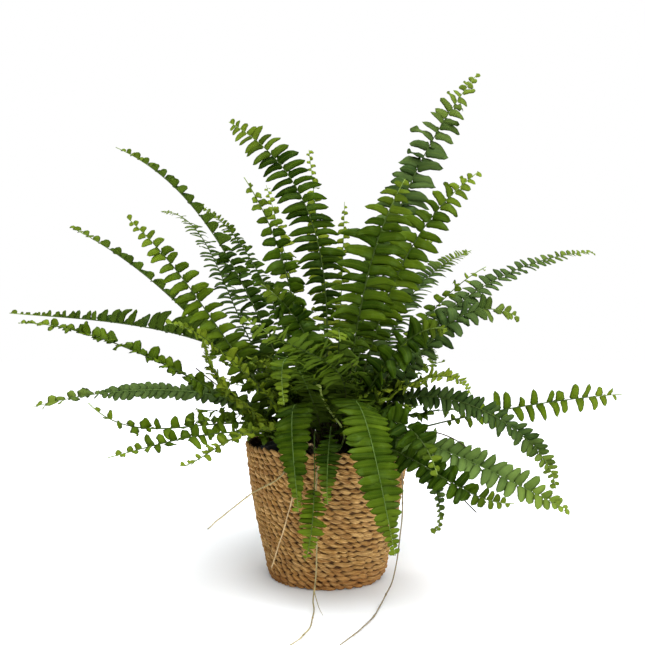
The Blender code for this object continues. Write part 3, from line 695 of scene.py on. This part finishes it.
def leaflet_points(origin, out, tipwards, normal, **shape):
    """Points of many leaflets at once, one row of points per leaflet. The shape's values are one number per
    leaflet, or one for all."""
    kinds = ("length", "breadth", "blunt", "droop", "sag", "cup", "ripple", "phase", "bend")
    length, breadth, blunt, droop, sag, cup, ripple, phase, bend = (
        np.broadcast_to(shape.get(kind, 0), len(origin))[:, None] for kind in kinds
    )
    u, v, low = GRID.T[:, None]
    half = outline(u, v, blunt) * breadth / 2
    angle = np.where(np.abs(droop) < 1e-3, 1e-3, droop)
    reach = u * (1 - 0.05 * v * v * u)
    x = length * np.sin(angle * reach) / angle
    z = -length * (1 - np.cos(angle * reach)) / angle
    y = v * half + bend * length * u * (1 - u)
    wave = np.sin(math.tau * (1.4 * u + phase))
    z = z - cup * half * v * v + ripple * breadth * wave * (0.35 + v) * u - low * LEAF_THICKNESS
    points = origin[:, None] + sum(
        way[:, None] * far[..., None] for way, far in ((out, x), (tipwards, y), (normal, z))
    )
    points[..., 2] -= sag * length * u * u * np.sqrt(1 - np.clip(out[:, 2:], -0.98, 0.98) ** 2)
    return points


def blade_share(share, ends):
    """Leaflet length along a frond, as a share of its longest."""
    bare, tapered, fall = ends
    swell = np.clip(0.12 + (share - bare) / 0.20, 0, 1) ** 0.6
    return swell * np.clip((1 - share) / tapered, 0, 1) ** fall


def leaflet_places(length, gap, ends, crowd):
    """Distances from a part's start, closer together where leaflets are small. Crowd is the least gap's
    share."""
    place = length * max(ends[0] + 0.01, 0.01)
    found = []
    while place < length - 0.0012:
        found.append(place)
        place += gap * (crowd + (1 - crowd) * float(blade_share(place / length, ends)))
    return np.array(found)


def add_leaflets(skin, points, ages, chances):
    """Both skins of every leaflet, with their maps. Each skin has its own box of the bake map."""
    index = np.arange(len(points))[:, None, None]
    lower = np.repeat([0, 1], len(LEAF_QUADS) // 2)[:, None]
    u, v = GRID[LEAF_QUADS, 0], 0.5 + 0.5 * GRID[LEAF_QUADS, 1]
    columns = math.ceil(math.sqrt(len(points) * 2 / 2.6))
    rows = math.ceil(len(points) * 2 / columns)
    box = 2 * index + lower
    inside = 1 - 2 * CELL_MARGIN
    skin.add(
        points, LEAF_QUADS + index * len(GRID),
        leaflet=(u, v + 2 * lower), growth=(ages[:, None, None], chances[:, None, None]),
        OFBake=(
            (box % columns + CELL_MARGIN + inside * u) / columns,
            STALK_STRIP + (1 - STALK_STRIP) * (box // columns + CELL_MARGIN + inside * v) / rows,
        ),
    )


def grow(line, compass, dice, looks, ends, lean=0, span=(0, 1)):
    """Two rows of alternate leaflets along part of a line: their points, and their shares of the whole
    line's length."""
    *sizes, turn, lift, uneven, _ = looks
    longest, gap, breadth = (size * MM for size in sizes)
    length = distances(line)[-1]
    tangents, faces, sides = frames(line, compass)
    share = np.linspace(0, 1, len(line))
    roll = turn * np.clip((share - 0.1) / 0.3, 0, 1)
    faces, sides = turned(faces, sides, roll + 10 * uneven * smoothed_noise(dice, len(line), 22))
    start, part = span[0] * length, (span[1] - span[0]) * length
    places = leaflet_places(part, gap, ends, 0.42 + 0.35 * uneven)

    def draws():
        return dice.normal(0, 1, number)

    rows = []
    for sign, lifted, lean_on in zip((1, -1), np.broadcast_to(lift, 2), np.broadcast_to(lean, 2)):
        spots = places if sign > 0 else places[:-1] + 0.5 * np.diff(places)
        number = len(spots)
        spots = np.minimum(spots + (0.05 + 0.08 * uneven) * draws() * gap, part * 0.998)
        grown = blade_share(spots / part, ends)
        at = np.maximum((start + spots) / length, 0.01)
        side, face, tangent = (unit(at_places(values, at)) for values in (sides, faces, tangents))
        away = turned(side * sign, face, lifted + (4 + 18 * uneven) * draws())[0]
        held = np.clip(1 + 1.1 * tangent[:, 2], 0.1, 1)
        forward = (4 + 16 * at ** 2) * held + lean_on + (3 + 10 * uneven) * draws()
        out, tipwards = turned(away, tangent, forward)
        out[:, 2] *= 1 - LEVELLED * tangent[:, 2] ** 2
        out = unit(out)
        tipwards = unit(tipwards - out * (tipwards * out).sum(1)[:, None])
        normal = sign * np.cross(out, tipwards)
        normal, tipwards = turned(normal, tipwards, 8 + (4 + 24 * uneven) * draws())
        size = 1 + 0.05 * (1 + 2.5 * uneven) * draws()
        rows.append((
            at_places(line, at), out, tipwards, normal, np.maximum(longest * grown * size, LEAST_LENGTH),
            np.maximum(breadth * (0.35 + 0.65 * grown) * (1 + 0.1 * draws()), LEAST_BREADTH), at, held,
        ))
    origins, outs, tips, normals, lengths, breadths, ages, held = map(np.concatenate, zip(*rows))
    bud = 0.0040 * (ages > 0.965) + 0.0016 * (ages > 0.985)
    number = len(ages)
    return leaflet_points(
        origins, outs, tips, normals,
        length=np.maximum(lengths, bud),
        breadth=np.maximum(breadths, bud * 0.9),
        blunt=np.clip(3.1 + 2.6 * np.maximum(ages, 1 - held) + 0.9 * draws(), 2.0, 6.5),
        droop=0.12 + 0.30 * draws() * (0.3 + uneven),
        sag=held * np.clip(0.16 + 0.09 * draws() * (0.5 + uneven), 0, 0.5),
        cup=0.16 + 0.14 * draws(),
        ripple=(0.03 + 0.16 * uneven) * draws(),
        phase=dice.uniform(0, 1, number),
        bend=held * (0.30 + 0.12 * draws()),
    ), ages


def sprig_lines(sprigs, dice):
    """Lines and compass directions of the small fronds that fill the space round a larger one's foot."""
    number, towards, spread, steep = sprigs
    for _ in range(number):
        heading = towards + dice.uniform(-spread, spread)
        rise = math.radians(min(steep + dice.uniform(-16, 16), 84))
        reach = dice.uniform(0.075, 0.135)
        outward = level_way(math.radians(heading))
        radius = CROWN_REACH * dice.uniform(0.2, 0.85)
        start = outward * radius + [0, 0, crown_height(radius) + STALK_LIFT]
        ahead, up = outward * reach * math.cos(rise), np.array([0, 0, reach * math.sin(rise)])
        points = [start, start + 0.42 * ahead + 0.58 * up, start + 1.1 * ahead + 0.86 * up]
        yield even_steps(through(points, 121), 70), heading + 180


def frond(index, plan, finishes):
    """A frond with the small ones round its foot."""
    dice = np.random.default_rng(1000 + index)
    x, y = (value * MM for value in plan.base)
    start = (x, y, crown_height(math.hypot(x, y)) + STALK_LIFT)
    line = even_steps(through([start, *np.array(plan.route) * MM], 241), 141)
    green = plan.looks[-1]
    lines, shades = [line], [plan.shade]
    parts = [(plan.looks, plan.ends, plan.lean)]
    if plan.outer:
        split, looks, ends = plan.outer
        parts = [(plan.looks, INNER_ENDS, plan.lean, (0, split)), (looks, ends, 0, (split, 1))]
        shades.append(plan.shade if looks[-1] == green else 1)
    grown = [grow(line, plan.compass, dice, *part) for part in parts]
    for small, heading in sprig_lines(plan.sprigs, dice):
        grown.append(grow(small, heading, dice, SPRIG_LOOKS, SPRIG_ENDS))
        lines.append(small)
        shades.append(dice.uniform(0, 0.95))
    points, ages = map(np.concatenate, zip(*grown))
    chances = 0.42 * dice.uniform(0, 1, len(ages))
    chances += 0.58 * np.repeat(shades, [len(part[1]) for part in grown])
    skin = Skin()
    add_leaflets(skin, points, ages, chances)
    dry = [smooth_line(plan.dry, 10)] if plan.dry else []
    step = 0.05 / (len(lines) + len(dry))
    strips = [(low, low + 0.8 * step) for low in 0.004 + step * np.arange(len(lines) + len(dry))]
    for count, line in enumerate(lines):
        root = line[:1] - unit(line[1:2] - line[:1]) * ROOTED
        share = np.concatenate([[0], np.linspace(0, 1, len(line))[::2]])
        thick = MIDRIB_RADIUS * (0.7 if count or plan.pale else 1)
        radii = thick * (1 - 0.60 * share ** 0.8)
        add_tube(skin, np.concatenate([root, line[::2]]), radii, share, 1, strip=strips[count])
    for stem in dry:
        add_tube(skin, stem, DRY_RADIUS, 0.06, 1, 5, strips[-1])
    rib = finishes["pale_stalk" if plan.pale else "stalk"]
    skin.piece("leaves_" + plan.name, [finishes[green], rib], GREENS[green][2], "frond_" + plan.name)


# ---- basket ----


def basket_radius(height):
    """Outside radius of the basket at a height."""
    if height < FOOT_ROUNDING:
        share = 1 - max(height, 0) / FOOT_ROUNDING
        return CONTACT_RADIUS + (WALL_FOOT_RADIUS - CONTACT_RADIUS) * math.sqrt(1 - share * share)
    share = (height - FOOT_ROUNDING) / (BASKET_HEIGHT - FOOT_ROUNDING)
    straight = WALL_FOOT_RADIUS + (RIM_RADIUS - WALL_FOOT_RADIUS) * share
    return straight + BELLY * math.sin(math.pi * share)


def wall_courses():
    """Radius and height of the middle of each rope course, from the foot to the rim."""
    heights = np.linspace(ROPE_RADIUS, BASKET_HIGH.z - ROPE_RADIUS, 200)
    radii = np.array([basket_radius(height) for height in heights]) - ROPE_DEPTH
    wall = np.stack([radii, heights], 1)
    number = round(distances(wall)[-1] / COURSE_PITCH) + 1
    return even_steps(wall, number).tolist()


def periodic(dice, angle, waves):
    """A smooth random ripple round a ring, from about -1 to 1."""
    total = 0 * angle
    for count in range(1, waves + 1):
        total += dice.normal(0, 1) * np.cos(count * angle + dice.uniform(0, math.tau))
    return total / math.sqrt(waves / 2 + 1e-9) / 1.6


def turned_points(angle, radii, heights):
    """Points of a turned shape, whose arrays may be rows and columns."""
    return np.stack(np.broadcast_arrays(radii * np.cos(angle), radii * np.sin(angle), heights), -1)


def add_rope(skin, radius, height, depth, index, strips, dice, wobble):
    """One ring of two plies that take turns to lie in front, each showing as a row of pointed stitches."""
    around = math.tau * radius
    stations = max(48, int(around / PLY_STEP))
    twists = max(3, round(around / TWIST_PITCH))
    angle = round_turn(stations)[:, None]
    start = dice.uniform(0, math.tau)
    radius = radius + 0.0003 * wobble * periodic(dice, angle, 17)
    height = height + 0.0005 * wobble * periodic(dice, angle, 14)
    steep = 0.22 + 0.55 * (0.5 - 0.5 * np.cos(angle - TIGHT_ANGLE)) ** 2
    turn = round_turn(PLY_SIDES)
    wind = start - twists * (angle - TIGHT_SHARE * np.sin(angle - TIGHT_ANGLE))
    wind += 1.3 * periodic(dice, angle, 12)
    faces, rings_at, sides_at = (values[:, ::-1] for values in tube_faces(stations, PLY_SIDES, True))
    for ply in range(2):
        phase = wind + math.pi * ply
        front = 0.5 + 0.5 * np.cos(phase)
        stitch = np.floor(phase / math.tau + 0.5).astype(int)
        stitch -= stitch.min()
        tones = dice.uniform(0, 1, stitch.max() + 1)
        sizes = dice.normal(1, 0.10, stitch.max() + 1)
        fat = sizes[stitch] * (1 + 0.12 * periodic(dice, angle, 70))
        outward = 0.38 * np.cos(phase) + fat * (0.34 + 0.28 * front) * np.cos(turn)
        upward = steep * np.sin(phase) + fat * (0.20 + 0.84 * front ** 1.2) * np.sin(turn)
        heights = np.maximum(height + ROPE_RADIUS * upward, BASKET_LOW.z + 0.0002)
        # How far each side of a ply faces out and lies in front; where this is low the seagrass finish paints
        # shade
        shown = (0.5 + 0.5 * np.cos(turn))[sides_at % PLY_SIDES] * front[rings_at % stations, 0] ** 0.7
        low = 0.96 * (2 * index + ply) / strips
        skin.add(
            turned_points(angle, radius + depth * outward, heights), faces,
            strand=(rings_at * around / stations, sides_at / PLY_SIDES),
            ply=(tones[stitch[rings_at % stations, 0]], shown),
            OFBake=(
                0.002 + 0.996 * rings_at / stations, low + (0.05 + 0.86 * sides_at / PLY_SIDES) / strips,
            ),
        )


def add_backing(skin, wall):
    """A skin inside the courses, with the seagrass finish painted dark as the shade seen in the weave's gaps,
    so that no gap lets light through.
    """
    segments = 180
    radii, heights = np.array(wall).T[..., None]
    faces, rings_at, sides_at = tube_faces(len(wall), segments)
    skin.add(
        turned_points(round_turn(segments), radii - 0.0004, heights), faces,
        # a low second number gives this skin the seagrass finish's painted shade
        strand=(sides_at * 0.0025, rings_at * 0.3), ply=(0.5, 0.12),
        OFBake=(sides_at / segments, 0.965 + 0.03 * rings_at / (len(wall) - 1)),
    )


def basket(finish):
    """The wall's courses, and a floor of rings of the same rope laid flat."""
    dice = np.random.default_rng(7)
    wall = wall_courses()
    foot = wall[0][0]
    courses = wall + [(foot - COURSE_PITCH * i, ROPE_RADIUS) for i in range(1, int(foot / COURSE_PITCH))]
    skin = Skin()
    for index, (radius, height) in enumerate(courses):
        on_wall = index < len(wall)
        depth = ROPE_DEPTH if on_wall else ROPE_RADIUS
        add_rope(skin, radius, height, depth, index, 2 * len(courses), dice, int(on_wall))
    add_backing(skin, wall)
    skin.piece("woven_basket", [finish], "seagrass", "basket")


# ---- liner, pot, soil and crown ----


def lathe(skin, profile, segments, shift=None):
    """A turned skin. shift(points, angles) may move its points."""
    angle = round_turn(segments)[:, None]
    radii, heights = np.array(profile, float).T
    points = turned_points(angle, radii, heights)
    if shift:
        shift(points, angle)
    numbers = np.arange(segments * len(radii)).reshape(segments, -1)
    skin.add(points, quads(np.concatenate([numbers, numbers[:1]])))


def lumpy(points, level, dice, number, finest, height):
    """Raises the points above a level by that many random ridges."""
    bumps = np.zeros(points.shape[:-1])
    for _ in range(number):
        away = dice.uniform(0, math.tau)
        wave = dice.uniform(150, finest)
        bumps += np.sin(points @ level_way(away) * wave + dice.uniform(0, math.tau)) / wave
    points[..., 2] += np.where(points[..., 2] > level, height * bumps, 0)


def liner(finish):
    """The film's edge stands a little above and below its mean height and is creased all round."""
    low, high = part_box("basket_liner")
    dice = np.random.default_rng(11)
    heights = np.linspace(low.z + 0.02, high.z, 26)
    radii = [basket_radius(max(height, FOOT_ROUNDING)) - LINER_INSET for height in heights]
    outer = [(HUB_RADIUS, low.z), (CONTACT_RADIUS - 0.008, low.z)] + list(zip(radii, heights))
    inner = [
        (radius - FILM_THICKNESS, height + FILM_THICKNESS * (radius < CONTACT_RADIUS))
        for radius, height in outer[::-1]
    ]

    def crease(points, angle):
        edge = np.clip((points[..., 2] - 0.085) / 0.045, 0, 1)
        ripple = 0.5 * periodic(dice, angle, 60) + 0.6 * periodic(dice, angle, 23)
        ripple = ripple + 0.5 * periodic(dice, angle, 90) * np.sin(points[..., 2] * 420)
        reach = np.hypot(points[..., 0], points[..., 1])
        points[..., :2] *= (1 - 0.0011 * np.abs(ripple) * edge / np.maximum(reach, 0.01))[..., None]
        points[..., 2] += 0.0016 * periodic(dice, angle, 9) * edge ** 3

    skin = Skin()
    lathe(skin, outer + inner, 360, crease)
    skin.piece("liner_film", [finish], "liner_film", "basket_liner")


def nursery_pot(finish):
    """A thin pot with a rolled lip."""
    low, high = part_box("nursery_pot")
    rim, top, foot = high.x, high.z, low.z
    wide = POT_FOOT_RADIUS
    up = np.linspace(0.05, 1, 14)
    outside = [(HUB_RADIUS, foot), (wide - 0.002, foot), (wide, foot + 0.002)]
    outside += zip(wide + (rim - 0.0025 - wide) * up, foot + 0.002 + (top - 0.011 - foot) * up)
    outside += [(rim - 0.0002, top - 0.0088), (rim, top - 0.006)]
    angle = np.linspace(-0.4, math.pi / 2, 6)
    lip = list(zip(rim - 0.0013 + 0.0013 * np.cos(angle), top - 0.0013 + 0.0013 * np.sin(angle)))
    inside = [
        (rim - 0.0030, top - 0.0004), (rim - 0.0036, top - 0.003), (rim - 0.0037, top - 0.009),
        (wide - 0.0012, foot + 0.0014), (HUB_RADIUS, foot + 0.0014),
    ]
    skin = Skin()
    lathe(skin, outside + lip + inside, 160)
    skin.piece("grower_pot", [finish], "pot_plastic", "nursery_pot")


def soil(finish):
    """A loose, lumpy top strewn with crumbs over a plain body."""
    low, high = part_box("potting_soil")
    dice = np.random.default_rng(21)
    edge = high.x - 0.0003
    top = high.z - 0.0015
    profile = [(HUB_RADIUS, low.z), (POT_FOOT_RADIUS - 0.0015, low.z), (edge, top - 0.001)]
    profile += [(radius, top) for radius in np.linspace(edge - 0.0006, HUB_RADIUS, 60)]
    skin = Skin()
    lathe(skin, profile, 180, lambda points, _: lumpy(points, top - 0.0005, dice, 60, 900, 0.0378))
    crumbs(skin, dice, 900, edge - 0.002, top)
    skin.piece("soil_top", [finish], "soil", "potting_soil")


def crumbs(skin, dice, number, reach, level):
    """Small lumps of bark and peat lying on the soil."""
    points, faces = coarse_ball()
    for _ in range(number):
        radius = reach * math.sqrt(dice.uniform(0, 1))
        angle = dice.uniform(0, math.tau)
        size = dice.uniform(0.0007, 0.0022)
        stretch = dice.uniform(0.5, 1.4, 3)
        spin = np.array(Quaternion(unit(dice.normal(0, 1, 4))).to_matrix())
        lump = (points * stretch * (1 + 0.25 * dice.normal(0, 1, (len(points), 1)))) @ spin.T * size
        skin.add(lump + level_way(angle) * radius + [0, 0, level + size * 0.3], faces)


def coarse_ball():
    """The twelve points and twenty faces of a coarse ball."""
    golden = (1 + math.sqrt(5)) / 2
    pairs = [(a, b) for a in (-1, 1) for b in (-golden, golden)]
    points = unit(np.array([corner for a, b in pairs for corner in ((0, a, b), (a, b, 0), (b, 0, a))]))
    near = points @ points.T > 0.4
    faces = []
    for i, j, k in combinations(range(len(points)), 3):
        if near[i, j] and near[j, k] and near[k, i]:
            outward = np.linalg.det(points[[i, j, k]]) > 0
            faces.append((i, j, k) if outward else (i, k, j))
    return points, faces


# Across, out and up of a scale's corners
SCALE = ((-0.5, 0, 0), (0.5, 0, 0), (0.35, 0, 0.6), (0, 0.05, 1), (-0.35, 0, 0.6))


def crown(finish):
    """A knobbly dome under scales."""
    dice = np.random.default_rng(31)
    bottom = CROWN_LOW.z
    edge = CROWN_RADIUS - 0.001
    profile = [(HUB_RADIUS, bottom), (edge, bottom)]
    profile += [(radius, crown_height(radius) - 0.001) for radius in np.linspace(edge, HUB_RADIUS, 34)]
    skin = Skin()
    lathe(skin, profile, 120, lambda points, _: lumpy(points, bottom + 0.002, dice, 40, 800, 0.075))
    across, bent, up = np.array(SCALE).T[..., None]
    for _ in range(1500):
        radius = CROWN_RADIUS * math.sqrt(dice.uniform(0, 0.98))
        angle = dice.uniform(0, math.tau)
        middle = level_way(angle) * radius + [0, 0, crown_height(radius) - 0.0015]
        turn = dice.uniform(0, math.tau)
        lean = dice.uniform(0.2, 1.1)
        along = level_way(turn) * math.sin(lean) + [0, 0, math.cos(lean)]
        side = level_way(turn + math.pi / 2)
        wide, tall = dice.uniform(0.0006, 0.0012), dice.uniform(0.003, 0.0065)
        blade = side * across * wide + (np.cross(side, along) * bent + along * up) * tall
        skin.add(blade + middle, [(0, 1, 2, 4)])
        skin.add([], [(-3, -2, -1)])
    skin.piece("scaly_crown", [finish], "rootstock", "crown")


# ---- runners and crozier ----


def runner(name, route, finish, dice):
    """A wiry stem with a swollen joint now and then."""
    line = even_steps(smooth_line(route, 12), 150)
    share = np.linspace(0, 1, len(line))
    kink = np.stack([smoothed_noise(dice, len(line), 9) for _ in range(3)], 1) * 0.00035
    kink[:, 2] = np.abs(kink[:, 2])
    line = line + kink * np.clip(share / 0.1, 0, 1)[:, None]
    joints = np.exp(-((np.mod(share * 7.3, 1) - 0.5) / 0.03) ** 2)
    radii = (RUNNER_RADIUS - 0.00035 * share) * (1 + 0.5 * joints + 0.12 * smoothed_noise(dice, len(line), 5))
    skin = Skin()
    add_tube(skin, line, radii, share, sides=8)
    if name in FORKS:
        place, points = FORKS[name]
        first = line[int(place * (len(line) - 1))]
        branch = even_steps(smooth_line([first / MM, *points], 8), 30)
        share = np.linspace(0, 1, len(branch))
        add_tube(skin, branch, FORK_RADIUS * (1 - 0.7 * share), share, sides=6, strip=(0.06, 0.10))
    skin.piece("stem_" + name, [finish], "runner_stem", name)


def crozier(finishes):
    """A pale young frond: a thin stem with tiny leaflets and a coiled bud."""
    dice = np.random.default_rng(51)
    line = even_steps(through(np.array(CROZIER) * MM, 121), 60)
    tangents, faces, sides = frames(line, -90)
    turns = np.linspace(0, 1, 70)[1:, None]
    angle = math.tau * 1.6 * turns
    coil = (sides[-1] * np.cos(angle) + tangents[-1] * np.sin(angle)) * COIL_RADIUS * (1 - 0.75 * turns)
    coil = coil + line[-1] - sides[-1] * COIL_RADIUS + faces[-1] * 0.0004 * turns
    whole = np.concatenate([line, coil])
    share = np.linspace(0, 1, len(whole))
    at = np.array(CROZIER_LEAFLETS)
    sign = np.where(np.arange(len(at)) % 2, 1, -1)[:, None]
    side, tangent = (unit(at_places(values, at)) for values in (sides, tangents))
    out, tipwards = turned(side * sign, tangent, 25 + 8 * dice.normal(0, 1, len(at)))
    lengths = np.linspace(0.0085, 0.0035, len(at))
    points = leaflet_points(
        at_places(line, at), out, tipwards, sign * np.cross(out, tipwards),
        length=lengths, breadth=lengths * 0.65, blunt=3, droop=0.3, cup=0.15, bend=0.1,
    )
    skin = Skin()
    add_leaflets(skin, points, 0.95 * np.ones(len(at)), dice.uniform(0, 1, len(at)))
    add_tube(skin, whole, np.where(share < 0.44, 0.0011 - 0.0002 * share / 0.44, 0.0015), 0.6, 1)
    skin.piece("young_crozier", [finishes["yellow"], finishes["young_stalk"]], "leaf_yellow_green", "crozier")


# ---- set ----

# Shades of the sky from below to above
SKY = (
    (0, (0.07, 0.07, 0.07)), (0.48, (0.08, 0.08, 0.09)), (0.62, (0.24, 0.25, 0.26)), (1, (0.78, 0.80, 0.82)),
)
# Name, place, what it points at, size and power
LAMPS = (
    ("top_softbox", (0.05, -0.30, 1.6), (0, 0, 0.15), 1.3, 38),
    ("front_softbox", (0.80, -1.9, 0.8), (0, 0, 0.12), 1.0, 24),
    ("right_softbox", (1.6, -0.5, 0.9), (0, 0, 0.25), 0.9, 6),
)
FLOOR_HALF = 4.5
ROOM_RADIUS = 6


def sky_finish():
    """Soft daylight that is brighter above."""
    f = Finish("soft_daylight", "worlds")
    height = f.add("SeparateXYZ", {0: f.add("TexCoord")}, 2)
    shade = f.ramp(f.add("MapRange", {0: height, 1: -1}), *SKY)
    return f.done(f.add("Background", {0: shade}), "World")


def floor_finish():
    """White paper, lit from within a little more the further it is from the basket."""
    f = Finish("white_floor")
    paper = f.blend(f.noise(3, 2), (0.83, 0.84, 0.85), (0.85, 0.86, 0.87))
    behind = f.add("VectorMath", {0: f.place(), 1: (0, 0.03, 0)}, operation="ADD")
    away = f.add("VectorMath", {0: behind}, 1, operation="LENGTH")
    glow = f.smooth(away, 0.03, 0.11) * 0.17 + f.smooth(away, 0.14, 1.0) * 0.60
    return f.done(f.add("BsdfPrincipled", {
        "Base Color": paper, "Roughness": 0.9, "Specular IOR Level": 0.1,
        "Emission Color": f.blend(glow, (0, 0, 0), (1, 1, 1)), "Emission Strength": 1.0,
    }))


def room_finish():
    f = Finish("white_room")
    return f.done(f.add("Emission", {"Color": (1, 1, 1, 1), "Strength": 1.0}))


def on_set(name, data):
    """An object of the set, not of the part."""
    thing = bpy.data.objects.new(name, data)
    bpy.context.scene.collection.objects.link(thing)
    thing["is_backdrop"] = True
    return thing


def studio():
    """White floor in a white room, soft lights, and the camera in front."""
    scene = bpy.context.scene
    scene.view_settings.view_transform = "Standard"
    scene.world = sky_finish()

    floor, room = (bpy.data.meshes.new(name) for name in ("floor", "room"))
    corners = [(x * FLOOR_HALF, y * FLOOR_HALF, 0) for x, y in ((-1, -1), (1, -1), (1, 1), (-1, 1))]
    floor.from_pydata(corners, [], [(0, 1, 2, 3)])
    shell = bmesh.new()
    bmesh.ops.create_uvsphere(shell, u_segments=32, v_segments=16, radius=ROOM_RADIUS)
    shell.to_mesh(room)
    shell.free()
    floor.materials.append(floor_finish())
    room.materials.append(room_finish())
    on_set("floor", floor)
    room = on_set("room", room)
    room.visible_diffuse = room.visible_glossy = room.visible_transmission = room.visible_shadow = False

    for name, place, target, size, power in LAMPS:
        lamp = bpy.data.lights.new(name, "AREA")
        lamp.shape = "SQUARE"
        lamp.size = size
        lamp.energy = power
        thing = on_set(name, lamp)
        thing.location = place
        thing.rotation_euler = (Vector(target) - Vector(place)).to_track_quat("-Z", "Y").to_euler()

    lens = bpy.data.cameras.new("camera")
    lens.lens = 46.9
    lens.sensor_width = 36
    camera = bpy.data.objects.new("camera", lens)
    camera.location = (-0.0046, -0.857, 0.2555)
    camera.rotation_euler = (math.pi / 2, 0, 0)
    scene.collection.objects.link(camera)
    scene.camera = camera


def main():
    studio()
    finishes = {tone: leaf_finish(tone) for tone in GREENS}
    finishes["stalk"] = stalk_finish("stalk", (0.034, 0.060, 0.006))
    finishes["pale_stalk"] = stalk_finish("pale_stalk", (0.075, 0.130, 0.022))
    finishes["young_stalk"] = stalk_finish("young_stalk", (0.450, 0.560, 0.140))
    basket(seagrass_finish())
    liner(film_finish())
    nursery_pot(pot_finish())
    soil(soil_finish())
    crown(crown_finish())
    for index, plan in enumerate(FRONDS):
        frond(index, plan, finishes)
    dice = np.random.default_rng(41)
    straw = runner_finish("straw_runner", (0.330, 0.270, 0.110), (0.090, 0.060, 0.025))
    dry = runner_finish("dry_runner", (0.560, 0.400, 0.200), (0.350, 0.220, 0.100))
    aged = runner_finish("aged_runner", (0.220, 0.170, 0.085), (0.045, 0.030, 0.014))
    finish_of = {"runner_dry": dry, "runner_right": aged}
    for name, route in RUNNERS.items():
        runner(name, route, finish_of.get(name, straw), dice)
    crozier(finishes)


main()
[[list(map(float, corner)) for corner in box] for box in (cad_bounds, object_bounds())]
